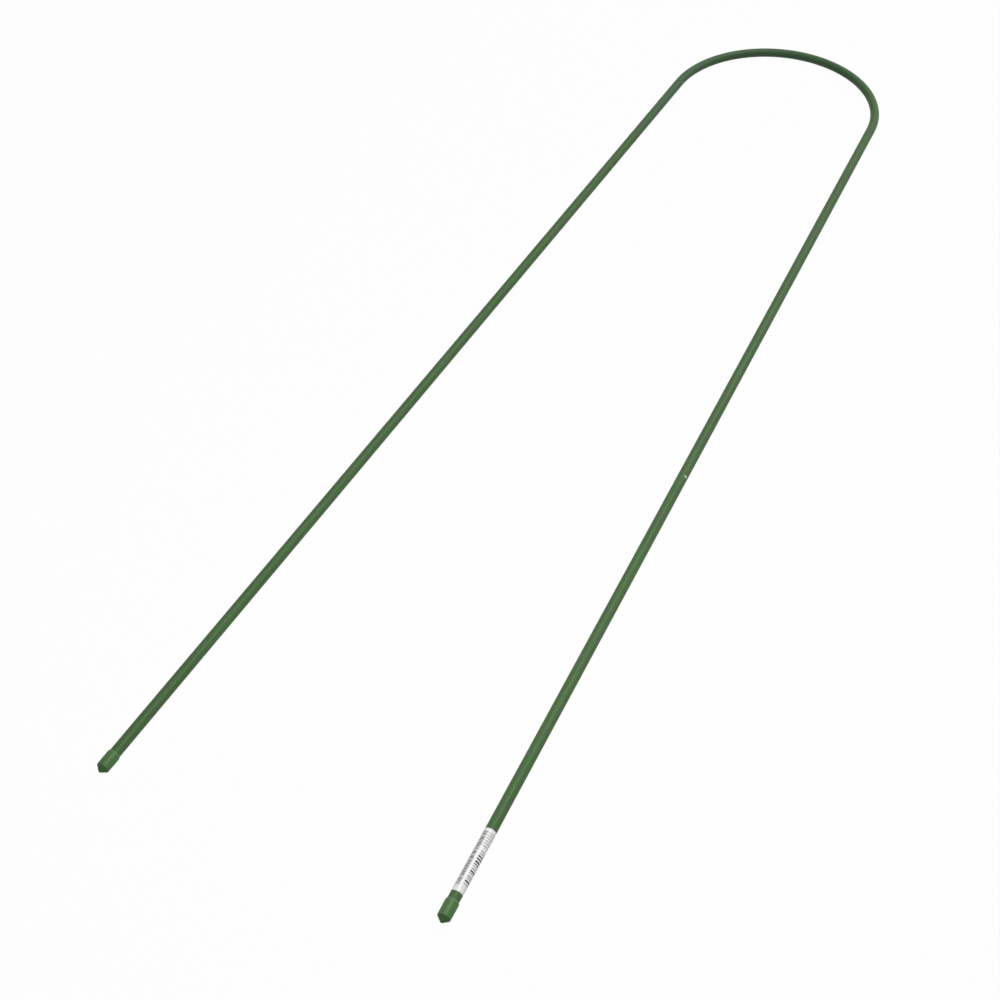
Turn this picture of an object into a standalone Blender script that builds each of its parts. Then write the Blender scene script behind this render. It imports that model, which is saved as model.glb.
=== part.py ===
"""Arch plant stake: a plastic-coated steel tube bent into a hoop, with a moulded point on each foot.

Metres, +Z up. The stake lies flat, as it does on a table: its feet point to -Y and its arch to +Y.
The origin is the middle of the bounding box's bottom face.
"""

import math

import bmesh
import bpy
from mathutils import Matrix, Vector

# The bent tube: two straight legs and one arc, with the centreline in a level plane
TUBE_DIAMETER = 0.0110  # over the plastic coating
COATING_WALL = 0.0007
STEEL_WALL = 0.0005
WELD_BEAD_HEIGHT = 0.0002  # the seam inside the steel tube
ARCH_RADIUS = 0.1310  # to the tube's centreline
LEG_LENGTH = 1.2320  # from the end of the arch to the tube's cut end
LEG_SPLAY = math.radians(1.94)  # each leg leans outwards from the hoop's middle line

# The foot caps, from the nose up to the mouth
NOSE_RADIUS = 0.0010  # the blunt flat at the point
NOSE_ROUNDING = 0.0006
CONE_HEIGHT = 0.0050
RIDGE_ROUNDING = 0.0004  # the edge between cone and barrel
CAP_FLOOR_THICKNESS = 0.0015  # solid from the ridge up to the floor that the tube stands on
CAP_SEAT_DEPTH = 0.0157  # from the mouth down to that floor
CAP_WALL = 0.0007  # the barrel's wall at its widest
BARREL_DRAFT = 0.00015  # the barrel is this much slimmer at the ridge, so that it leaves its mould
SHOULDER_LENGTH = 0.0030  # the barrel curves in to the lip over this length
LIP_WALL = 0.0002
CORE_RADIUS = 0.0034  # the moulded hollow under the tube's bore
CORE_BOTTOM_RADIUS = 0.0012
CORE_DEPTH = 0.0030

# The label, wrapped once round the right leg
LABEL_LENGTH = 0.0670
LABEL_TO_CAP = 0.0073  # bare tube between the cap's mouth and the label
LABEL_THICKNESS = 0.0001

# Clearances between pieces that touch on the real stake
COATING_CLEARANCE = 0.0003  # steel tube in its coating
CAP_CLEARANCE = 0.0002  # coated tube in the cap's bore
END_CLEARANCE = 0.0003  # the tube's cut end over the cap's floor
LABEL_CLEARANCE = 0.0001  # label on the coating, and its overlap on itself

# Facets
SIDES = 24  # round every tube, cap and label
ARCH_STEPS = 36
ROUNDING_STEPS = 3
SHOULDER_STEPS = 4
LABEL_OVERLAP_SIDES = 2
SMOOTH_BELOW = math.radians(35)

LEFT = -1
RIGHT = 1
GROUND_SIDE = math.pi / 2  # the way down, as an angle about the axis of a piece that lies on a leg

TUBE_RADIUS = TUBE_DIAMETER / 2
COATING_BORE_RADIUS = TUBE_RADIUS - COATING_WALL
STEEL_RADIUS = COATING_BORE_RADIUS - COATING_CLEARANCE
STEEL_BORE_RADIUS = STEEL_RADIUS - STEEL_WALL
CAP_BORE_RADIUS = TUBE_RADIUS + CAP_CLEARANCE
BARREL_RADIUS = CAP_BORE_RADIUS + CAP_WALL
CAP_FLOOR_HEIGHT = CONE_HEIGHT + CAP_FLOOR_THICKNESS
CAP_LENGTH = CAP_FLOOR_HEIGHT + CAP_SEAT_DEPTH
NOSE_DISTANCE = LEG_LENGTH + END_CLEARANCE + CAP_FLOOR_HEIGHT  # from the end of the arch to the nose

# The hoop's reach either way from the arch's centre, which puts the origin in the middle of its length
ARCH_TOP_Y = ARCH_RADIUS + TUBE_RADIUS
NOSE_Y = ARCH_RADIUS * math.sin(LEG_SPLAY) - NOSE_DISTANCE * math.cos(LEG_SPLAY)


def clear_scene():
    for item in list(bpy.data.objects):
        bpy.data.objects.remove(item, do_unlink=True)


def linear_colour(hex_code):
    """An sRGB hex colour as linear RGBA."""
    channels = [int(hex_code[i:i + 2], 16) / 255 for i in (1, 3, 5)]
    linear = [c / 12.92 if c <= 0.04045 else ((c + 0.055) / 1.055) ** 2.4 for c in channels]
    return (*linear, 1.0)


def make_material(name, hex_code, roughness, metallic=0.0):
    material = bpy.data.materials.new(name)
    material.use_nodes = True
    shader = material.node_tree.nodes["Principled BSDF"]
    shader.inputs["Base Color"].default_value = linear_colour(hex_code)
    shader.inputs["Roughness"].default_value = roughness
    shader.inputs["Metallic"].default_value = metallic
    return material


def drawn_steel():
    return make_material("drawn_steel", "#9A9C9E", 0.35, metallic=1.0)


def extruded_polyethylene():
    return make_material("extruded_polyethylene", "#48653F", 0.45)


def moulded_polyethylene():
    return make_material("moulded_polyethylene", "#4A7A42", 0.5)


def label_paper():
    return make_material("label_paper", "#E8E8E4", 0.6)


def add_hoop_plane():
    """The empty at the arch's centre, level with the tube's centreline, that carries every piece."""
    hoop_plane = bpy.data.objects.new("hoop_plane", None)
    bpy.context.collection.objects.link(hoop_plane)
    hoop_plane.location = (0.0, -(ARCH_TOP_Y + NOSE_Y) / 2, BARREL_RADIUS)
    return hoop_plane


def finish_piece(bm, name, material, parent):
    """Turns a bmesh into a smooth-shaded object that hangs on its parent."""
    bmesh.ops.recalc_face_normals(bm, faces=bm.faces)
    mesh = bpy.data.meshes.new(name)
    bm.to_mesh(mesh)
    bm.free()
    mesh.shade_smooth()
    mesh.set_sharp_from_angle(angle=SMOOTH_BELOW)
    mesh.materials.append(material)
    piece = bpy.data.objects.new(name, mesh)
    bpy.context.collection.objects.link(piece)
    piece.parent = parent
    return piece


def up_the_leg(side):
    """The direction from a foot to the arch."""
    return Vector((-side * math.sin(LEG_SPLAY), math.cos(LEG_SPLAY), 0.0))


def point_on_leg(side, distance):
    """A point on a leg's centreline, at a distance below the end of the arch."""
    arch_end = Vector((side * math.cos(LEG_SPLAY), math.sin(LEG_SPLAY), 0.0)) * ARCH_RADIUS
    return arch_end - up_the_leg(side) * distance


def leg_rotation(side):
    """Turns a piece so that its own +Z runs up the leg and its own +Y faces the ground."""
    return Matrix.Rotation(side * LEG_SPLAY, 4, "Z") @ Matrix.Rotation(-math.pi / 2, 4, "X")


def place_on_leg(piece, side, distance):
    piece.location = point_on_leg(side, distance)
    piece.rotation_euler = leg_rotation(side).to_euler()


def patch_of(faces):
    """A patch's faces with their edges: an extrusion that is given both leaves no face inside."""
    return faces + list(dict.fromkeys(edge for face in faces for edge in face.edges))


def extrude_faces(bm, faces, move):
    """Extrudes a patch of faces by a move and gives back the patch at the far end."""
    grown = bmesh.ops.extrude_face_region(bm, geom=patch_of(faces))["geom"]
    bmesh.ops.translate(bm, verts=[item for item in grown if isinstance(item, bmesh.types.BMVert)], vec=move)
    return [item for item in grown if isinstance(item, bmesh.types.BMFace)]


def sweep_round_hoop(bm, section):
    """Carries a cross-section from the left foot up its leg, round the arch and down the right leg."""
    section = extrude_faces(bm, section, up_the_leg(LEFT) * LEG_LENGTH)
    turned = bmesh.ops.spin(
        bm,
        geom=patch_of(section),
        cent=(0.0, 0.0, 0.0),
        axis=(0.0, 0.0, -1.0),
        angle=math.pi - 2 * LEG_SPLAY,
        steps=ARCH_STEPS,
    )
    section = [item for item in turned["geom_last"] if isinstance(item, bmesh.types.BMFace)]
    extrude_faces(bm, section, up_the_leg(RIGHT) * -LEG_LENGTH)


def tube_section(bm, outer_radius, bore_radius):
    """A flat ring of faces across the left leg at the tube's cut end, and the ring's inner corners."""
    foot = Matrix.Translation(point_on_leg(LEFT, LEG_LENGTH)) @ leg_rotation(LEFT)
    bmesh.ops.create_circle(bm, segments=SIDES, radius=outer_radius, matrix=foot)
    bore = bmesh.ops.create_circle(bm, segments=SIDES, radius=bore_radius, matrix=foot)["verts"]
    ring = bmesh.ops.bridge_loops(bm, edges=bm.edges)["faces"]
    return ring, bore


def build_green_coating(material, parent):
    """The polyethylene sleeve that is extruded over the steel before the tube is bent."""
    bm = bmesh.new()
    section, _ = tube_section(bm, TUBE_RADIUS, COATING_BORE_RADIUS)
    sweep_round_hoop(bm, section)
    return finish_piece(bm, "green_coating", material, parent)


def build_steel_tube(material, parent):
    """The thin welded tube inside. Its weld bead stands into the bore, on the ground side."""
    bm = bmesh.new()
    section, bore = tube_section(bm, STEEL_RADIUS, STEEL_BORE_RADIUS)
    bead = min(bore, key=lambda corner: corner.co.z)
    bead.co.z += WELD_BEAD_HEIGHT
    sweep_round_hoop(bm, section)
    return finish_piece(bm, "steel_tube", material, parent)


def round_corner(before, corner, after, radius):
    """The points of the arc that rounds one corner of a profile."""
    before, corner, after = Vector(before), Vector(corner), Vector(after)
    back = (before - corner).normalized()
    ahead = (after - corner).normalized()
    half_angle = back.angle(ahead) / 2
    reach = radius / math.tan(half_angle)
    centre = corner + (back + ahead).normalized() * (radius / math.sin(half_angle))
    start = (corner + back * reach - centre).normalized()
    end = (corner + ahead * reach - centre).normalized()
    return [centre + start.slerp(end, step / ROUNDING_STEPS) * radius for step in range(ROUNDING_STEPS + 1)]


def shoulder_curve():
    """The quarter ellipse that takes the barrel in to the lip."""
    drop = CAP_WALL - LIP_WALL
    for step in range(SHOULDER_STEPS + 1):
        turn = step / SHOULDER_STEPS * math.pi / 2
        radius = BARREL_RADIUS - drop * (1 - math.cos(turn))
        yield radius, CAP_LENGTH - SHOULDER_LENGTH * (1 - math.sin(turn))


def cap_profile():
    """The cap's half section as (radius, height), from the nose's rim over the outside into the bore."""
    nose_centre = (0.0, 0.0)
    nose_rim = (NOSE_RADIUS, 0.0)
    ridge = (BARREL_RADIUS - BARREL_DRAFT, CONE_HEIGHT)
    shoulder = list(shoulder_curve())
    return [
        *round_corner(nose_centre, nose_rim, ridge, NOSE_ROUNDING),
        *round_corner(nose_rim, ridge, shoulder[0], RIDGE_ROUNDING),
        *shoulder,
        (CAP_BORE_RADIUS, CAP_LENGTH),
        (CAP_BORE_RADIUS, CAP_FLOOR_HEIGHT),
        (CORE_RADIUS, CAP_FLOOR_HEIGHT),
        (CORE_BOTTOM_RADIUS, CAP_FLOOR_HEIGHT - CORE_DEPTH),
    ]


def build_foot_cap(name, side, material, parent):
    """A moulded cap, pushed over the tube's end: blunt cone, drafted barrel, thin lip and blind bore."""
    bm = bmesh.new()
    corners = [bm.verts.new((radius, 0.0, height)) for radius, height in cap_profile()]
    lines = [bm.edges.new(pair) for pair in zip(corners, corners[1:])]
    bmesh.ops.spin(
        bm,
        geom=corners + lines,
        cent=(0.0, 0.0, 0.0),
        axis=(0.0, 0.0, 1.0),
        angle=2 * math.pi,
        steps=SIDES,
        use_merge=True,
    )
    bmesh.ops.holes_fill(bm, edges=[edge for edge in bm.edges if edge.is_boundary])
    cap = finish_piece(bm, name, material, parent)
    place_on_leg(cap, side, NOSE_DISTANCE)
    return cap


def build_paper_label(material, parent):
    """A strip wrapped once round the right leg, its far end lapped over its start on the ground side."""
    bm = bmesh.new()
    rungs = []
    for step in range(SIDES + LABEL_OVERLAP_SIDES + 1):
        angle = GROUND_SIDE + step / SIDES * 2 * math.pi
        outwards = Vector((math.cos(angle), math.sin(angle), 0.0))
        inner_radius = TUBE_RADIUS + LABEL_CLEARANCE
        if step >= SIDES:
            inner_radius += LABEL_THICKNESS + LABEL_CLEARANCE
        inner = bm.verts.new(outwards * inner_radius)
        outer = bm.verts.new(outwards * (inner_radius + LABEL_THICKNESS))
        rungs.append((inner, outer))
    strip = [bm.faces.new((*rung, *reversed(following))) for rung, following in zip(rungs, rungs[1:])]
    extrude_faces(bm, strip, Vector((0.0, 0.0, LABEL_LENGTH)))
    label = finish_piece(bm, "paper_label", material, parent)
    place_on_leg(label, RIGHT, NOSE_DISTANCE - CAP_LENGTH - LABEL_TO_CAP)
    return label


def build_stake():
    clear_scene()
    hoop_plane = add_hoop_plane()
    cap_plastic = moulded_polyethylene()
    build_steel_tube(drawn_steel(), hoop_plane)
    build_green_coating(extruded_polyethylene(), hoop_plane)
    build_foot_cap("foot_cap_left", LEFT, cap_plastic, hoop_plane)
    build_foot_cap("foot_cap_right", RIGHT, cap_plastic, hoop_plane)
    build_paper_label(label_paper(), hoop_plane)


build_stake()
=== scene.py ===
"""Arch plant stake: the looks of a plastic-coated steel hoop with a moulded point on each foot.

Metres, +Z up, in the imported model's frame. The stake lies flat: its feet point to -Y and its arch
to +Y.
"""

import math

import bmesh
import bpy
from mathutils import Matrix, Quaternion, Vector


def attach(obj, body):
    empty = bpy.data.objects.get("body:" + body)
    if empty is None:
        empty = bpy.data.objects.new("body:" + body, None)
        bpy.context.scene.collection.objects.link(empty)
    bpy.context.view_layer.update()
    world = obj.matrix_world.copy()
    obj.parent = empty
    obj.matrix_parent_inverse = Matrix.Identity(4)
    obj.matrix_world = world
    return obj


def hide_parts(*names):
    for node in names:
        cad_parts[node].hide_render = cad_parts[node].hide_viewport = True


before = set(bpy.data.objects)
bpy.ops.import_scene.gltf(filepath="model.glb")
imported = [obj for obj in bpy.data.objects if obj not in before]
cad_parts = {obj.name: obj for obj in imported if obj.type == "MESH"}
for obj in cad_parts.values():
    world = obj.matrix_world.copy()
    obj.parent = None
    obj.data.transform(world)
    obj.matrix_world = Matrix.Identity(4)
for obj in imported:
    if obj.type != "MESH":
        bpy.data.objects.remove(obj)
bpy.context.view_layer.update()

# The steel tube
# The core of the stake: a thin strip of steel, rolled round, welded along its seam and drawn to
# size. The coating and the caps hide all of it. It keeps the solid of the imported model.


def linear_colour(hex_code):
    """An sRGB hex colour as linear RGBA."""
    channels = [int(hex_code[i:i + 2], 16) / 255 for i in (1, 3, 5)]
    linear = [c / 12.92 if c <= 0.04045 else ((c + 0.055) / 1.055) ** 2.4 for c in channels]
    return (*linear, 1.0)


def per_metre(*millimetres):
    """The scale at which a pattern repeats at a real size, one number for each axis."""
    return tuple(1000 / size for size in millimetres)


def new_material(name, **uniform):
    """A material with its shader, whose uniform values stand on the shader's own sockets."""
    material = bpy.data.materials.new(name)
    material.use_nodes = True
    shader = material.node_tree.nodes["Principled BSDF"]
    for socket, value in uniform.items():
        shader.inputs[socket.replace("_", " ").title().replace("Ior", "IOR")].default_value = value
    return material, shader


def add_node(material, kind, inputs, **settings):
    """Adds a node. Each input takes a value, or another node's output to link from.

    Sockets go by name, or by number where two share a name: 6 and 7 are a colour mix's two colours.
    """
    node = material.node_tree.nodes.new(kind)
    for setting, value in settings.items():
        setattr(node, setting, value)
    for socket, value in inputs.items():
        if isinstance(value, bpy.types.NodeSocket):
            material.node_tree.links.new(value, node.inputs[socket])
        else:
            node.inputs[socket].default_value = value
    return node


def link(material, output, shader, socket):
    """Leads a node's output to a socket of the shader."""
    material.node_tree.links.new(output, shader.inputs[socket])


# Drawn steel: bright grey with fine lengthwise scratches from the drawing die, which stretch its
# gloss.
steel, steel_shader = new_material("drawn_steel", metallic=1.0)
steel_place = add_node(steel, "ShaderNodeTexCoord", {}).outputs["Object"]
DRAWING_SCRATCH = per_metre(0.6, 40.0, 0.6)  # wider than the real ones, which are too fine to show
scratch_place = add_node(
    steel, "ShaderNodeMapping", {"Vector": steel_place, "Scale": DRAWING_SCRATCH}
)
scratches = add_node(
    steel,
    "ShaderNodeTexNoise",
    {"Vector": scratch_place.outputs["Vector"], "Scale": 1.0, "Detail": 4.0},
)
steel_colour = add_node(
    steel,
    "ShaderNodeMix",
    {0: scratches.outputs["Fac"], 6: linear_colour("#8E9092"), 7: linear_colour("#A9ABAD")},
    data_type="RGBA",
)
steel_gloss = add_node(
    steel, "ShaderNodeMapRange", {"Value": scratches.outputs["Fac"], "To Min": 0.25, "To Max": 0.45}
)
steel_relief = add_node(
    steel,
    "ShaderNodeBump",
    {"Height": scratches.outputs["Fac"], "Strength": 0.4, "Distance": 0.00002},
)
link(steel, steel_colour.outputs[2], steel_shader, "Base Color")
link(steel, steel_gloss.outputs["Result"], steel_shader, "Roughness")
link(steel, steel_relief.outputs["Normal"], steel_shader, "Normal")

steel_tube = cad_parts["steel_tube"]
steel_tube.data.materials.clear()
steel_tube.data.materials.append(steel)

# The green coating
# A sleeve of green polyethylene, extruded over the steel while both are straight. The coated tube
# is then bent round a former, so the lines that the die leaves follow the hoop.
TUBE_RADIUS = 0.0055
COATING_BORE_RADIUS = 0.0048
ARCH_RADIUS = 0.1310  # to the tube's centreline
LEG_LENGTH = 1.2320  # from the end of the arch to the tube's cut end
LEG_SPLAY = math.radians(1.94)  # each leg leans outwards from the hoop's middle line
ARCH_ANGLE = math.pi - 2 * LEG_SPLAY
ARCH_LENGTH = ARCH_RADIUS * ARCH_ANGLE
TUBE_LENGTH = ARCH_LENGTH + 2 * LEG_LENGTH
ARCH_CENTRE = Vector((0.0, 0.548577607, 0.0064))  # with the origin halfway along the stake
TUBE_SIDES = 64
LEG_STEPS = 28
ARCH_STEPS = 120
SMOOTH_BELOW = math.radians(35)
MERGE_DISTANCE = 0.000001


def note_own_place(bm):
    """Keeps each vertex's place on the straight piece, for patterns that follow the bend."""
    own_place = bm.verts.layers.float_vector.new("own_place")
    for vert in bm.verts:
        vert[own_place] = vert.co


def bend_into_hoop(bm):
    """Takes a piece from the straight tube to the hoop.

    The straight tube runs along +Z from the left foot to the right one. Its +X turns to the outside
    of the hoop and its +Y turns up.
    """
    for vert in bm.verts:
        outwards, up, along = vert.co
        arch_place = min(max(along - LEG_LENGTH, 0.0), ARCH_LENGTH)
        turn = arch_place / ARCH_RADIUS - ARCH_ANGLE / 2
        out = Vector((math.sin(turn), math.cos(turn), 0.0))
        ahead = Vector((math.cos(turn), -math.sin(turn), 0.0))
        past_arch = along - LEG_LENGTH - arch_place
        vert.co = ARCH_CENTRE + out * (ARCH_RADIUS + outwards) + ahead * past_arch
        vert.co.z += up


def finish_piece(bm, name, material, node):
    """Closes a piece's mesh, bends it, and puts it on the body in place of its node."""
    bmesh.ops.remove_doubles(bm, verts=bm.verts, dist=MERGE_DISTANCE)
    bmesh.ops.recalc_face_normals(bm, faces=bm.faces)
    if bm.calc_volume(signed=True) < 0.0:  # the faces of a closed piece all point inwards
        bmesh.ops.reverse_faces(bm, faces=bm.faces)
    bend_into_hoop(bm)
    mesh = bpy.data.meshes.new(name)
    bm.to_mesh(mesh)
    bm.free()
    mesh.shade_smooth()
    mesh.set_sharp_from_angle(angle=SMOOTH_BELOW)
    mesh.materials.append(material)
    piece = bpy.data.objects.new(name, mesh)
    bpy.context.scene.collection.objects.link(piece)
    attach(piece, "root")
    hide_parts(node)


# Extruded polyethylene: waxy and half matt. Faint lengthwise die lines catch the light in their
# relief, and a paler tint along them is a painted sheen. The dye clouds from a clean green to a
# greyer one, the colour is bluer along the arch, and one pale nick shows where the skin has been
# knocked.
coating, coating_shader = new_material("extruded_polyethylene", specular_ior_level=0.23)
coating_place = add_node(
    coating, "ShaderNodeAttribute", {}, attribute_name="own_place"
).outputs["Vector"]
DIE_LINE = per_metre(1.3, 1.3, 70.0)  # about twice as wide as real ones, so that they show
die_place = add_node(coating, "ShaderNodeMapping", {"Vector": coating_place, "Scale": DIE_LINE})
die_lines = add_node(
    coating,
    "ShaderNodeTexNoise",
    {"Vector": die_place.outputs["Vector"], "Scale": 1.0, "Detail": 4.0},
)
CLOUD = per_metre(9.0, 9.0, 12.0)  # nearly as wide as the tube
cloud_place = add_node(coating, "ShaderNodeMapping", {"Vector": coating_place, "Scale": CLOUD})
clouds = add_node(
    coating,
    "ShaderNodeTexNoise",
    {"Vector": cloud_place.outputs["Vector"], "Scale": 1.0, "Detail": 3.0, "Roughness": 0.65},
)
cloud_share = add_node(
    coating,
    "ShaderNodeMapRange",
    {"Value": clouds.outputs["Fac"], "From Min": 0.37, "From Max": 0.63},
)
cloud_colour = add_node(
    coating,
    "ShaderNodeMix",
    {0: cloud_share.outputs["Result"], 6: linear_colour("#3B642B"), 7: linear_colour("#475D3E")},
    data_type="RGBA",
)
# Painted sheen: a paler tint along the die lines.
line_sheen_share = add_node(
    coating,
    "ShaderNodeMapRange",
    {"Value": die_lines.outputs["Fac"], "From Min": 0.35, "From Max": 0.65, "To Max": 0.6},
)
line_sheen_colour = add_node(
    coating,
    "ShaderNodeMix",
    {0: line_sheen_share.outputs["Result"], 6: cloud_colour.outputs[2], 7: linear_colour("#4F7244")},
    data_type="RGBA",
)
# The colour turns bluer along the arch, set only by the place along the tube.
ARCH_FADE = 0.060  # the bluer skin of the arch fades this far to either side of its two ends
BLUER_MIDDLE = TUBE_LENGTH / 2 - 0.100  # it starts down the left leg and ends before the right one
coating_along = add_node(coating, "ShaderNodeSeparateXYZ", {"Vector": coating_place}).outputs["Z"]
past_middle = add_node(
    coating, "ShaderNodeMath", {0: coating_along, 1: BLUER_MIDDLE}, operation="SUBTRACT"
)
off_middle = add_node(
    coating, "ShaderNodeMath", {0: past_middle.outputs["Value"]}, operation="ABSOLUTE"
)
arch_share = add_node(
    coating,
    "ShaderNodeMapRange",
    {
        "Value": off_middle.outputs["Value"],
        "From Min": ARCH_LENGTH / 2 + ARCH_FADE,
        "From Max": ARCH_LENGTH / 2 - ARCH_FADE,
        "To Max": 0.4,
    },
    interpolation_type="SMOOTHSTEP",
)
skin_colour = add_node(
    coating,
    "ShaderNodeMix",
    {0: arch_share.outputs["Result"], 6: line_sheen_colour.outputs[2], 7: linear_colour("#415F4E")},
    data_type="RGBA",
)
NICK_BELOW_ARCH = 0.6752
NICK_ANGLE = math.radians(45.0)  # from the top of the tube towards the outside of the hoop
NICK_INNER_RADIUS = 0.0004  # palest inside this
NICK_OUTER_RADIUS = 0.0024  # and unmarked outside this
nick_centre = (
    TUBE_RADIUS * math.sin(NICK_ANGLE),
    TUBE_RADIUS * math.cos(NICK_ANGLE),
    LEG_LENGTH + ARCH_LENGTH + NICK_BELOW_ARCH,
)
nick_distance = add_node(
    coating, "ShaderNodeVectorMath", {0: coating_place, 1: nick_centre}, operation="DISTANCE"
)
nick_share = add_node(
    coating,
    "ShaderNodeMapRange",
    {
        "Value": nick_distance.outputs["Value"],
        "From Min": NICK_OUTER_RADIUS,
        "From Max": NICK_INNER_RADIUS,
    },
    interpolation_type="SMOOTHSTEP",
)
coating_colour = add_node(
    coating,
    "ShaderNodeMix",
    {0: nick_share.outputs["Result"], 6: skin_colour.outputs[2], 7: linear_colour("#D6E1D0")},
    data_type="RGBA",
)
coating_gloss = add_node(
    coating, "ShaderNodeMapRange", {"Value": clouds.outputs["Fac"], "To Min": 0.42, "To Max": 0.58}
)
coating_relief = add_node(
    coating,
    "ShaderNodeBump",
    {"Height": die_lines.outputs["Fac"], "Strength": 0.5, "Distance": 0.00006},
)
nick_relief = add_node(
    coating,
    "ShaderNodeBump",
    {
        "Height": nick_share.outputs["Result"],
        "Strength": 0.6,
        "Distance": 0.0002,
        "Normal": coating_relief.outputs["Normal"],
    },
    invert=True,
)
link(coating, coating_colour.outputs[2], coating_shader, "Base Color")
link(coating, coating_gloss.outputs["Result"], coating_shader, "Roughness")
link(coating, nick_relief.outputs["Normal"], coating_shader, "Normal")

bm = bmesh.new()
bmesh.ops.create_circle(bm, segments=TUBE_SIDES, radius=TUBE_RADIUS)
bmesh.ops.create_circle(bm, segments=TUBE_SIDES, radius=COATING_BORE_RADIUS)
end_ring = bmesh.ops.bridge_loops(bm, edges=bm.edges)["faces"]
stretches = [(LEG_LENGTH, LEG_STEPS), (ARCH_LENGTH, ARCH_STEPS), (LEG_LENGTH, LEG_STEPS)]
for length, steps in stretches:
    for _ in range(steps):
        ring_and_edges = end_ring + list({edge for face in end_ring for edge in face.edges})
        grown = bmesh.ops.extrude_face_region(bm, geom=ring_and_edges)["geom"]
        moved = [item for item in grown if isinstance(item, bmesh.types.BMVert)]
        bmesh.ops.translate(bm, verts=moved, vec=(0.0, 0.0, length / steps))
        end_ring = [item for item in grown if isinstance(item, bmesh.types.BMFace)]
note_own_place(bm)
finish_piece(bm, "coated_tube", coating, "green_coating")

# The foot caps
# A point for each foot, injection moulded in green polyethylene and pushed over the tube's cut end:
# a blunt cone, a barrel with a little draft, and a shoulder that curves in to a thin lip on the
# coating.
CAP_NOSE_RADIUS = 0.0010
CAP_CONE_HEIGHT = 0.0050
CAP_BARREL_RADIUS = 0.0064
CAP_DRAFT = 0.00015  # the barrel is this much slimmer at the ridge
CAP_RIDGE_RADIUS = CAP_BARREL_RADIUS - CAP_DRAFT
CAP_LENGTH = 0.0222
CAP_SHOULDER = 0.0030
CAP_LIP_RADIUS = 0.00565
CAP_GRIP_RADIUS = 0.00552  # the lip's inner edge, which holds the coating
CAP_BORE_RADIUS = 0.0057
CAP_BORE_LEAD = 0.0008  # the bore opens from the lip to its full width over this depth
CAP_FLOOR_HEIGHT = 0.0065
CAP_CORE_RADIUS = 0.0034  # the hollow under the tube's bore
CAP_CORE_BOTTOM_RADIUS = 0.0012
CAP_CORE_BOTTOM_HEIGHT = 0.0035
GATE_DISH_RADIUS = 0.0006  # where the plastic came in, a dish with a nib in its middle
GATE_DISH_DEPTH = 0.00015
GATE_NIB_RADIUS = 0.0002
CAP_NOSE_TO_TUBE = 0.0068  # from the nose to the tube's cut end
CAP_SIDES = 96
SHOULDER_STEPS = 10
NOSE_ROUNDING = 0.0005
RIDGE_ROUNDING = 0.0004
ROUNDING_STEPS = 5
RING_TOLERANCE = 0.00001  # how near a vertex lies to the ring that it is picked for

# Moulded polyethylene: a cleaner, more yellow green than the coating, with a fine grain from the
# mould. Paler rings at the ridge and the lip are painted highlights, where the rounded edges catch
# the light from overhead.
cap_plastic, cap_shader = new_material("moulded_polyethylene", specular_ior_level=0.28)
cap_place = add_node(
    cap_plastic, "ShaderNodeAttribute", {}, attribute_name="own_place"
).outputs["Vector"]
GRAIN = per_metre(0.5, 0.5, 0.5)  # coarser than the mould's own grain, so that it shows
grain_place = add_node(cap_plastic, "ShaderNodeMapping", {"Vector": cap_place, "Scale": GRAIN})
grain = add_node(
    cap_plastic,
    "ShaderNodeTexNoise",
    {"Vector": grain_place.outputs["Vector"], "Scale": 1.0, "Detail": 3.0},
)
FLOW = per_metre(5.0, 5.0, 9.0)  # drawn out along the cap, as the plastic filled the mould
flow_place = add_node(cap_plastic, "ShaderNodeMapping", {"Vector": cap_place, "Scale": FLOW})
flow = add_node(
    cap_plastic,
    "ShaderNodeTexNoise",
    {"Vector": flow_place.outputs["Vector"], "Scale": 1.0, "Detail": 2.0},
)
flow_colour = add_node(
    cap_plastic,
    "ShaderNodeMix",
    {0: flow.outputs["Fac"], 6: linear_colour("#4F763A"), 7: linear_colour("#467343")},
    data_type="RGBA",
)
cap_height = add_node(cap_plastic, "ShaderNodeSeparateXYZ", {"Vector": cap_place}).outputs["Z"]
# Painted highlights: paler rings at the ridge and the lip, broken up by the grain.
HIGHLIGHT_RING_WIDTH = 0.0009  # to either side of a ring's middle
RIDGE_HIGHLIGHT_HEIGHT = CAP_CONE_HEIGHT + 0.0003
RIDGE_HIGHLIGHT_SHARE = 0.25
LIP_HIGHLIGHT_HEIGHT = CAP_LENGTH - 0.0010
LIP_HIGHLIGHT_SHARE = 0.1
highlight_ring_shares = []
for highlight_height, most in ((RIDGE_HIGHLIGHT_HEIGHT, RIDGE_HIGHLIGHT_SHARE), (LIP_HIGHLIGHT_HEIGHT, LIP_HIGHLIGHT_SHARE)):
    from_ring = add_node(
        cap_plastic, "ShaderNodeMath", {0: cap_height, 1: highlight_height}, operation="SUBTRACT"
    )
    off_ring = add_node(
        cap_plastic, "ShaderNodeMath", {0: from_ring.outputs["Value"]}, operation="ABSOLUTE"
    )
    highlight_ring = add_node(
        cap_plastic,
        "ShaderNodeMapRange",
        {
            "Value": off_ring.outputs["Value"],
            "From Min": HIGHLIGHT_RING_WIDTH,
            "From Max": 0.0,
            "To Max": most,
        },
        interpolation_type="SMOOTHSTEP",
    )
    highlight_ring_shares.append(highlight_ring.outputs["Result"])
both_highlight_rings = add_node(
    cap_plastic, "ShaderNodeMath", {0: highlight_ring_shares[0], 1: highlight_ring_shares[1]}, operation="ADD"
)
broken_highlight_rings = add_node(
    cap_plastic,
    "ShaderNodeMath",
    {0: both_highlight_rings.outputs["Value"], 1: grain.outputs["Fac"]},
    operation="MULTIPLY",
)
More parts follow.
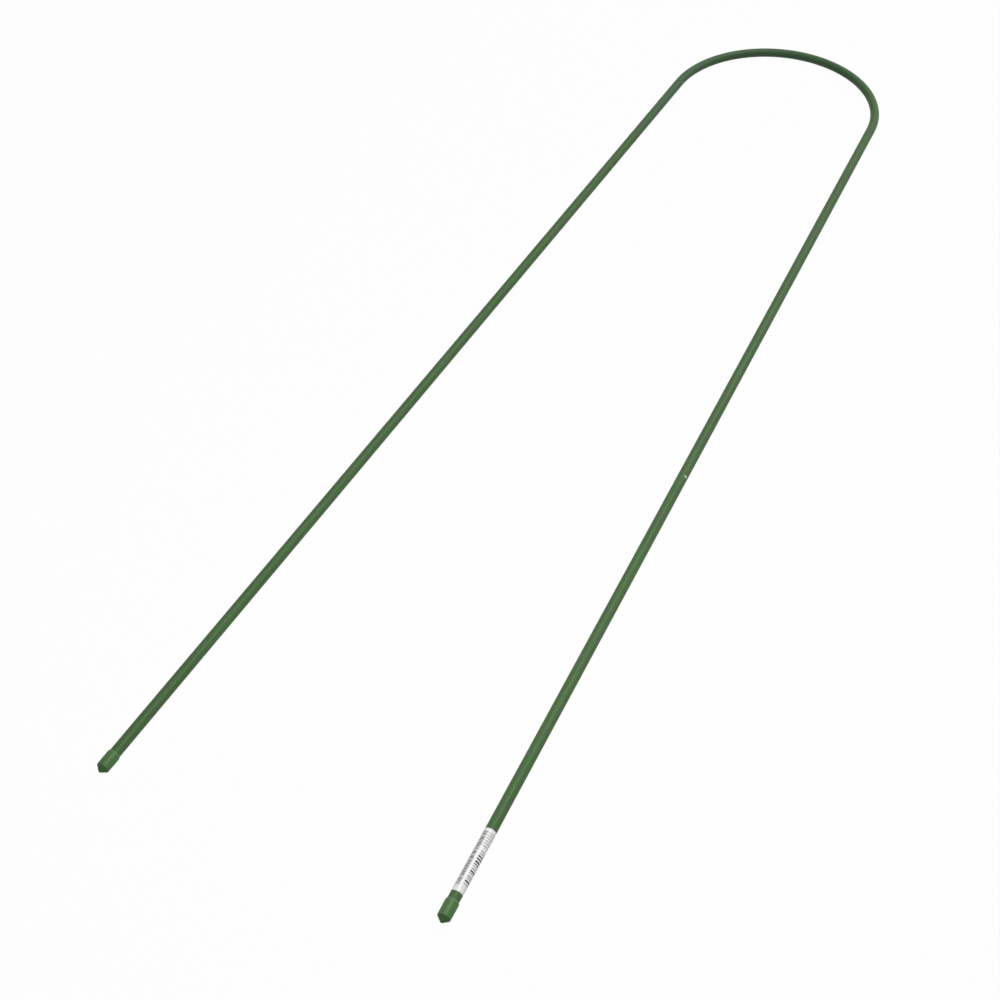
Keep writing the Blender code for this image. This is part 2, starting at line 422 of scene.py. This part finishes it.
# Mixes in the pale colour of the painted highlight rings.
cap_colour = add_node(
    cap_plastic,
    "ShaderNodeMix",
    {0: broken_highlight_rings.outputs["Value"], 6: flow_colour.outputs[2], 7: linear_colour("#A8BE98")},
    data_type="RGBA",
)
cap_gloss = add_node(
    cap_plastic,
    "ShaderNodeMapRange",
    {"Value": grain.outputs["Fac"], "To Min": 0.4, "To Max": 0.52},
)
cap_relief = add_node(
    cap_plastic,
    "ShaderNodeBump",
    {"Height": grain.outputs["Fac"], "Strength": 0.4, "Distance": 0.00004},
)
link(cap_plastic, cap_colour.outputs[2], cap_shader, "Base Color")
link(cap_plastic, cap_gloss.outputs["Result"], cap_shader, "Roughness")
link(cap_plastic, cap_relief.outputs["Normal"], cap_shader, "Normal")


def shoulder_point(step):
    """One point of the quarter ellipse that takes the barrel in to the lip."""
    turn = step / SHOULDER_STEPS * math.pi / 2
    radius = CAP_BARREL_RADIUS - (CAP_BARREL_RADIUS - CAP_LIP_RADIUS) * (1 - math.cos(turn))
    return radius, CAP_LENGTH - CAP_SHOULDER * (1 - math.sin(turn))


cap_profile = [
    (0.0, 0.0),
    (GATE_NIB_RADIUS, 0.0),
    (GATE_NIB_RADIUS, GATE_DISH_DEPTH),
    (GATE_DISH_RADIUS, GATE_DISH_DEPTH),
    (GATE_DISH_RADIUS, 0.0),
    (CAP_NOSE_RADIUS, 0.0),
    (CAP_RIDGE_RADIUS, CAP_CONE_HEIGHT),
    *[shoulder_point(step) for step in range(SHOULDER_STEPS + 1)],
    (CAP_GRIP_RADIUS, CAP_LENGTH),
    (CAP_BORE_RADIUS, CAP_LENGTH - CAP_BORE_LEAD),
    (CAP_BORE_RADIUS, CAP_FLOOR_HEIGHT),
    (CAP_CORE_RADIUS, CAP_FLOOR_HEIGHT),
    (CAP_CORE_BOTTOM_RADIUS, CAP_CORE_BOTTOM_HEIGHT),
    (0.0, CAP_CORE_BOTTOM_HEIGHT),
]


def ring_edges(bm, radius, height):
    """The edges of the ring at a radius and height."""
    def on_ring(vert):
        off_radius = abs(vert.co.xy.length - radius)
        off_height = abs(vert.co.z - height)
        return off_radius < RING_TOLERANCE and off_height < RING_TOLERANCE

    return [edge for edge in bm.edges if all(on_ring(vert) for vert in edge.verts)]


for name, node, right_foot in (
    ("cap_left", "foot_cap_left", False),
    ("cap_right", "foot_cap_right", True),
):
    bm = bmesh.new()
    corners = [bm.verts.new((radius, 0.0, height)) for radius, height in cap_profile]
    lines = [bm.edges.new(pair) for pair in zip(corners, corners[1:])]
    bmesh.ops.spin(
        bm,
        geom=corners + lines,
        cent=(0.0, 0.0, 0.0),
        axis=(0.0, 0.0, 1.0),
        angle=2 * math.pi,
        steps=CAP_SIDES,
        use_merge=True,
    )
    bmesh.ops.remove_doubles(bm, verts=bm.verts, dist=MERGE_DISTANCE)
    for radius, height, rounding in (
        (CAP_NOSE_RADIUS, 0.0, NOSE_ROUNDING),
        (CAP_RIDGE_RADIUS, CAP_CONE_HEIGHT, RIDGE_ROUNDING),
    ):
        bmesh.ops.bevel(
            bm,
            geom=ring_edges(bm, radius, height),
            offset=rounding,
            affect="EDGES",
            segments=ROUNDING_STEPS,
            profile=0.5,
            material=-1,
        )
    note_own_place(bm)
    if right_foot:
        turned_over = Matrix.Rotation(math.pi, 4, "X")
        bmesh.ops.transform(bm, matrix=turned_over, verts=bm.verts)
        bmesh.ops.translate(bm, verts=bm.verts, vec=(0.0, 0.0, TUBE_LENGTH + CAP_NOSE_TO_TUBE))
    else:
        bmesh.ops.translate(bm, verts=bm.verts, vec=(0.0, 0.0, -CAP_NOSE_TO_TUBE))
    finish_piece(bm, name, cap_plastic, node)

# The label
# A strip of white self-adhesive paper, printed with plain bars, rules and dashes, cut with rounded
# corners and wrapped once round the right leg above its cap. The dashes lie on the leg's side away
# from the light and are inked darker than print alone, partly as painted shade. Its end laps over
# its start on the ground side.
LABEL_LENGTH = 0.0670  # along the leg
LABEL_THICKNESS = 0.0001
LABEL_TO_CAP = 0.0073  # bare tube between the cap's mouth and the label
LABEL_RADIUS = TUBE_RADIUS + LABEL_THICKNESS  # to the paper's printed face
LABEL_AROUND = 2 * math.pi * LABEL_RADIUS  # once round the tube
LABEL_LAP = 0.0029
LABEL_LAP_RISE = 0.0002  # lifts the lap clear of the paper under it
LABEL_LAP_RAMP = 0.0030  # the paper rises over this stretch, just before the lap
LABEL_CORNER = 0.0012
CORNER_STEPS = 4
AROUND_STEPS = 88
ALONG_STEPS = 4
label_bottom = TUBE_LENGTH + CAP_NOSE_TO_TUBE - CAP_LENGTH - LABEL_TO_CAP

# Coated label paper: clean white with a slight sheen and a fine uneven fibre, printed in grey black
# ink.
paper, paper_shader = new_material("coated_label_paper")
sheet_place = add_node(
    paper, "ShaderNodeAttribute", {}, attribute_name="own_place"
).outputs["Vector"]
FIBRE = per_metre(0.7, 0.7, 0.7)  # coarser than real fibres, so that they show
fibre_place = add_node(paper, "ShaderNodeMapping", {"Vector": sheet_place, "Scale": FIBRE})
fibres = add_node(
    paper,
    "ShaderNodeTexNoise",
    {"Vector": fibre_place.outputs["Vector"], "Scale": 1.0, "Detail": 4.0},
)
paper_colour = add_node(
    paper,
    "ShaderNodeMix",
    {0: fibres.outputs["Fac"], 6: linear_colour("#FAFAF9"), 7: linear_colour("#F2F2F0")},
    data_type="RGBA",
)
sheet_axes = add_node(paper, "ShaderNodeSeparateXYZ", {"Vector": sheet_place})
around_place, along_place = sheet_axes.outputs["X"], sheet_axes.outputs["Y"]
# Each bar's distance from the label's edge next to the cap, and its width, in millimetres
BARS = [(9.0, 0.6), (12.0, 1.6), (14.8, 0.5), (17.0, 0.8), (20.4, 0.5), (22.4, 1.4), (25.0, 0.6)]
BARS += [(27.4, 0.5), (30.0, 0.9), (32.6, 1.7), (35.6, 1.3), (38.4, 1.4), (41.2, 0.6), (43.6, 0.6)]
label_share = add_node(
    paper, "ShaderNodeMapRange", {"Value": along_place, "From Max": LABEL_LENGTH}
)
bar_ramp = add_node(paper, "ShaderNodeValToRGB", {"Fac": label_share.outputs["Result"]})
bar_ramp.color_ramp.interpolation = "CONSTANT"
bar_ramp.color_ramp.elements[1].position = 1.0
bar_ramp.color_ramp.elements[1].color = (0.0, 0.0, 0.0, 1.0)
for middle, width in BARS:
    for edge_place, ink in ((middle - width / 2, 1.0), (middle + width / 2, 0.0)):
        stop = bar_ramp.color_ramp.elements.new(edge_place / 1000 / LABEL_LENGTH)
        stop.color = (ink, ink, ink, 1.0)


INK_EDGE = 0.0001  # how far the ink fades out at the edge of a printed block


def band(value, low, high):
    """One inside a band of places and zero outside it."""
    rise = add_node(
        paper, "ShaderNodeMapRange", {"Value": value, "From Min": low - INK_EDGE, "From Max": low}
    )
    fall = add_node(
        paper, "ShaderNodeMapRange", {"Value": value, "From Min": high + INK_EDGE, "From Max": high}
    )
    both = add_node(
        paper,
        "ShaderNodeMath",
        {0: rise.outputs["Result"], 1: fall.outputs["Result"]},
        operation="MULTIPLY",
    )
    return both.outputs["Value"]


BAR_BLOCK_AROUND = (0.0198, 0.0288)
# The dashes lie on the side of the leg that faces the hoop's middle, away from the light, and are
# inked darker than print alone: partly print, partly painted shade.
DASH_BLOCK_AROUND = (0.0130, 0.0170)
DASH_BLOCK_ALONG = (0.0065, 0.0635)
DASH_ROW = 0.0010  # from one row of dashes to the next
DASH_LENGTH = 0.0031
DASH_MARGIN = 0.0001  # bare paper round each dash
DASH_FADING = per_metre(2.6)[0]  # how often the ink of the dashes thins out along the strip
bar_share = add_node(
    paper,
    "ShaderNodeMath",
    {0: bar_ramp.outputs["Color"], 1: band(around_place, *BAR_BLOCK_AROUND)},
    operation="MULTIPLY",
)
dash_place = add_node(paper, "ShaderNodeCombineXYZ", {"X": along_place, "Y": around_place})
dashes = add_node(
    paper,
    "ShaderNodeTexBrick",
    {
        "Vector": dash_place.outputs["Vector"],
        "Color1": (1.0, 1.0, 1.0, 1.0),
        "Color2": (0.8, 0.8, 0.8, 1.0),
        "Mortar": (0.0, 0.0, 0.0, 1.0),
        "Scale": 1.0,
        "Mortar Size": DASH_MARGIN,
        "Mortar Smooth": 0.2,
        "Brick Width": DASH_LENGTH,
        "Row Height": DASH_ROW,
    },
    offset=0.37,
    squash=0.6,
    squash_frequency=3,
)
dash_area = add_node(
    paper,
    "ShaderNodeMath",
    {0: band(around_place, *DASH_BLOCK_AROUND), 1: band(along_place, *DASH_BLOCK_ALONG)},
    operation="MULTIPLY",
)
fading = add_node(
    paper,
    "ShaderNodeTexNoise",
    {"W": along_place, "Scale": DASH_FADING, "Detail": 1.0},
    noise_dimensions="1D",
)
# How dark the dashes are: print and painted shade together.
dash_ink_and_shade = add_node(
    paper,
    "ShaderNodeMapRange",
    {"Value": fading.outputs["Fac"], "From Min": 0.38, "From Max": 0.56, "To Min": 0.4},
)
dash_ink_and_shade_area = add_node(
    paper,
    "ShaderNodeMath",
    {0: dash_area.outputs["Value"], 1: dash_ink_and_shade.outputs["Result"]},
    operation="MULTIPLY",
)
dash_ink_and_shade_share = add_node(
    paper,
    "ShaderNodeMath",
    {0: dashes.outputs["Color"], 1: dash_ink_and_shade_area.outputs["Value"]},
    operation="MULTIPLY",
)
RULE_SPACING = 0.0027
RULE_WIDTH_SHARE = 0.45  # of the spacing
RULE_INK = 0.4
RULE_BLOCK_AROUND = (0.0172, 0.0288)
RULE_BLOCK_ALONG = (0.0475, 0.0640)
rule_count = add_node(
    paper, "ShaderNodeMath", {0: along_place, 1: RULE_SPACING}, operation="DIVIDE"
)
rule_place = add_node(paper, "ShaderNodeMath", {0: rule_count.outputs["Value"]}, operation="FRACT")
rules = add_node(
    paper,
    "ShaderNodeMath",
    {0: rule_place.outputs["Value"], 1: RULE_WIDTH_SHARE},
    operation="LESS_THAN",
)
rule_area = add_node(
    paper,
    "ShaderNodeMath",
    {0: band(around_place, *RULE_BLOCK_AROUND), 1: band(along_place, *RULE_BLOCK_ALONG)},
    operation="MULTIPLY",
)
pale_rule_area = add_node(
    paper, "ShaderNodeMath", {0: rule_area.outputs["Value"], 1: RULE_INK}, operation="MULTIPLY"
)
rule_share = add_node(
    paper,
    "ShaderNodeMath",
    {0: rules.outputs["Value"], 1: pale_rule_area.outputs["Value"]},
    operation="MULTIPLY",
)
bars_and_rules = add_node(
    paper,
    "ShaderNodeMath",
    {0: bar_share.outputs["Value"], 1: rule_share.outputs["Value"]},
    operation="MAXIMUM",
)
ink_and_shade_share = add_node(
    paper,
    "ShaderNodeMath",
    {0: bars_and_rules.outputs["Value"], 1: dash_ink_and_shade_share.outputs["Value"]},
    operation="MAXIMUM",
)
printed_and_shaded_colour = add_node(
    paper,
    "ShaderNodeMix",
    {0: ink_and_shade_share.outputs["Value"], 6: paper_colour.outputs[2], 7: linear_colour("#1E1E20")},
    data_type="RGBA",
)
paper_gloss = add_node(
    paper, "ShaderNodeMapRange", {"Value": fibres.outputs["Fac"], "To Min": 0.28, "To Max": 0.4}
)
paper_relief = add_node(
    paper, "ShaderNodeBump", {"Height": fibres.outputs["Fac"], "Strength": 0.3, "Distance": 0.00002}
)
link(paper, printed_and_shaded_colour.outputs[2], paper_shader, "Base Color")
link(paper, paper_gloss.outputs["Result"], paper_shader, "Roughness")
link(paper, paper_relief.outputs["Normal"], paper_shader, "Normal")

bm = bmesh.new()
sheet_width = LABEL_AROUND + LABEL_LAP
bmesh.ops.create_grid(bm, x_segments=AROUND_STEPS, y_segments=ALONG_STEPS, size=0.5)
bmesh.ops.scale(bm, vec=(sheet_width, LABEL_LENGTH, 1.0), verts=bm.verts)
bmesh.ops.translate(bm, vec=(sheet_width / 2, LABEL_LENGTH / 2, 0.0), verts=bm.verts)
sheet_corners = [vert for vert in bm.verts if len(vert.link_edges) == 2]
bmesh.ops.bevel(
    bm,
    geom=sheet_corners,
    offset=LABEL_CORNER,
    affect="VERTICES",
    segments=CORNER_STEPS,
    profile=0.5,
    material=-1,
)
bmesh.ops.solidify(bm, geom=bm.faces, thickness=LABEL_THICKNESS)
note_own_place(bm)
for vert in bm.verts:
    around, along, height = vert.co
    lapping = min(max((around - LABEL_AROUND) / LABEL_LAP_RAMP + 1.0, 0.0), 1.0)
    radius = LABEL_RADIUS + height + LABEL_LAP_RISE * lapping
    angle = around / LABEL_RADIUS - math.pi / 2
    vert.co = (radius * -math.cos(angle), radius * math.sin(angle), label_bottom - along)
finish_piece(bm, "label", paper, "paper_label")

# The floor and the light
# A plain pale floor under soft boxes: a broad one behind the arch, a long one overhead and a small
# one near the right foot. What the camera sees of the floor and the room behind it is nearly white.
FLOOR_SIZE = 12.0
WHITE_SHARE = 0.975  # of what the camera sees of the floor; the rest takes the light and the shadow
ALL_WHITE_FROM = 1.5  # from here outwards the floor turns as white as the room behind it
ALL_WHITE_TO = 4.5
SKY_LEVEL = 0.05
WHITE = (1.0, 1.0, 1.0, 1.0)


def seen_directly(owner):
    """One where the camera looks, or where a gloss or a clear piece shows it the surroundings."""
    ray = add_node(owner, "ShaderNodeLightPath", {}).outputs
    seen_or_mirrored = add_node(
        owner,
        "ShaderNodeMath",
        {0: ray["Is Camera Ray"], 1: ray["Is Glossy Ray"]},
        operation="MAXIMUM",
    )
    seen = add_node(
        owner,
        "ShaderNodeMath",
        {0: seen_or_mirrored.outputs["Value"], 1: ray["Is Transmission Ray"]},
        operation="MAXIMUM",
    )
    return seen.outputs["Value"]


# Painted board: pale grey and matt, so that the stake's shadow lies softly on it.
floor_surface, floor_shader = new_material(
    "pale_floor", base_color=linear_colour("#C8C8C8"), roughness=0.9
)
floor_white = add_node(floor_surface, "ShaderNodeEmission", {"Strength": 1.0})
floor_place = add_node(floor_surface, "ShaderNodeTexCoord", {}).outputs["Object"]
off_object = add_node(floor_surface, "ShaderNodeVectorMath", {0: floor_place}, operation="LENGTH")
outwards_white = add_node(
    floor_surface,
    "ShaderNodeMapRange",
    {
        "Value": off_object.outputs["Value"],
        "From Min": ALL_WHITE_FROM,
        "From Max": ALL_WHITE_TO,
        "To Min": WHITE_SHARE,
        "To Max": 1.0,
    },
    interpolation_type="SMOOTHSTEP",
)
white_share = add_node(
    floor_surface,
    "ShaderNodeMath",
    {0: seen_directly(floor_surface), 1: outwards_white.outputs["Result"]},
    operation="MULTIPLY",
)
floor_mix = add_node(
    floor_surface,
    "ShaderNodeMixShader",
    {
        0: white_share.outputs["Value"],
        1: floor_shader.outputs["BSDF"],
        2: floor_white.outputs["Emission"],
    },
)
link(
    floor_surface,
    floor_mix.outputs["Shader"],
    floor_surface.node_tree.nodes["Material Output"],
    "Surface",
)

bm = bmesh.new()
bmesh.ops.create_grid(bm, x_segments=1, y_segments=1, size=FLOOR_SIZE / 2)
floor_mesh = bpy.data.meshes.new("floor")
bm.to_mesh(floor_mesh)
bm.free()
floor_mesh.materials.append(floor_surface)
floor = bpy.data.objects.new("floor", floor_mesh)
bpy.context.scene.collection.objects.link(floor)

world = bpy.data.worlds.new("studio")
bpy.context.scene.world = world
world.use_nodes = True
sky = world.node_tree.nodes["Background"]
sky.inputs["Color"].default_value = WHITE
sky.inputs["Strength"].default_value = SKY_LEVEL
white_room = add_node(world, "ShaderNodeBackground", {"Color": WHITE, "Strength": 1.0})
room_mix = add_node(
    world,
    "ShaderNodeMixShader",
    {0: seen_directly(world), 1: sky.outputs["Background"], 2: white_room.outputs["Background"]},
)
link(world, room_mix.outputs["Shader"], world.node_tree.nodes["World Output"], "Surface")


def add_soft_box(name, place, target, size, power):
    """A rectangular lamp that stands at a place and faces a target."""
    lamp_data = bpy.data.lights.new(name, "AREA")
    lamp_data.shape = "RECTANGLE"
    lamp_data.size, lamp_data.size_y = size
    lamp_data.energy = power
    lamp = bpy.data.objects.new(name, lamp_data)
    bpy.context.scene.collection.objects.link(lamp)
    lamp.visible_camera = False
    lamp.location = place
    lamp.rotation_euler = (Vector(target) - Vector(place)).to_track_quat("-Z", "Y").to_euler()


add_soft_box("arch_box", place=(1.0, 2.2, 1.7), target=(0.0, 0.3, 0.0), size=(2.0, 1.4), power=17.0)
add_soft_box(
    "long_box", place=(0.25, 1.1, 1.9), target=(0.0, 0.0, 0.0), size=(0.8, 1.6), power=21.0
)
add_soft_box(
    "near_box", place=(0.25, -0.4, 0.85), target=(0.1, -0.6, 0.0), size=(0.3, 0.6), power=4.2
)

# The camera
# It stands where the photograph was taken from: in front of the feet and to the right, looking down
# along the hoop.
CAMERA_PLACE = Vector((0.580986, -1.326944, 1.295866))
CAMERA_TARGET = Vector((-0.001247, -0.230156, 0.0064))
CAMERA_ROLL = math.radians(-1.7738)
camera_data = bpy.data.cameras.new("camera")
camera_data.lens = 63.2332
camera_data.sensor_width = 36.0
camera = bpy.data.objects.new("camera", camera_data)
bpy.context.scene.collection.objects.link(camera)
camera.location = CAMERA_PLACE
aim = (CAMERA_TARGET - CAMERA_PLACE).to_track_quat("-Z", "Y")
camera.rotation_mode = "QUATERNION"
camera.rotation_quaternion = aim @ Quaternion((0.0, 0.0, 1.0), CAMERA_ROLL)
bpy.context.scene.camera = camera
bpy.context.scene.view_settings.view_transform = "Standard"
